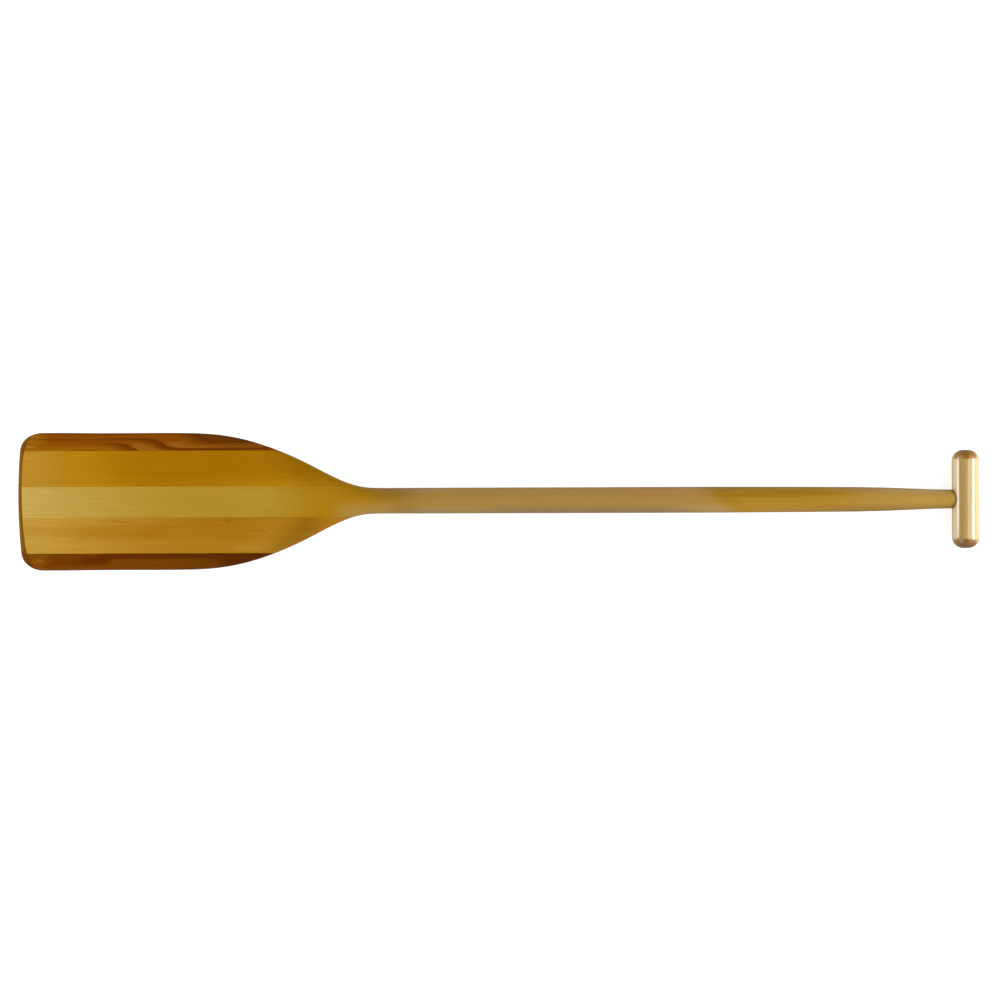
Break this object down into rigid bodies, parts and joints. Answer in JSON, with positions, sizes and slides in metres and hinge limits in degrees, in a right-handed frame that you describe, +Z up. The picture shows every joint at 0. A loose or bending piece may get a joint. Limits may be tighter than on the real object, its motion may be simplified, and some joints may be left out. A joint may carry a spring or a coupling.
{
  "type": "canoe paddle",
  "caption": "Short laminated wooden canoe paddle with a square-shouldered blade of glued strips, a resin-edged tip, a round shaft and a T-grip.",
  "frame": {"origin": "on the surface that the paddle lies on, under the middle of its bounding box", "axes": "+X from the blade's tip to the grip, +Y to the paddler's right looking from grip to blade with the pictured face up, +Z up out of that face"},
  "size_m": [1.0668, 0.1528, 0.0305],
  "materials": {
    "pale_wood": "pale straw-coloured wood under clear gloss varnish",
    "honey_wood_right": "honey-coloured wood under clear gloss varnish",
    "honey_wood_left": "honey-coloured wood, a little paler towards its outer edge, under clear gloss varnish",
    "red_brown_wood": "red-brown wood with sweeping cathedral grain under clear gloss varnish",
    "dark_brown_wood": "dark brown wood with straight streaked grain under clear gloss varnish",
    "amber_resin": "cast amber-brown resin, sanded flush and glossy",
    "cream_wood": "cream-coloured turned hardwood, glossy varnish, darker end grain"
  },
  "bodies": {
    "root": {"shaft": "pale_wood", "inner_blade_strip_right": "honey_wood_right", "inner_blade_strip_left": "honey_wood_left", "outer_blade_strip_right": "red_brown_wood", "outer_blade_strip_left": "dark_brown_wood", "tip_guard": "amber_resin", "t_grip": "cream_wood"}
  },
  "joints": []
}
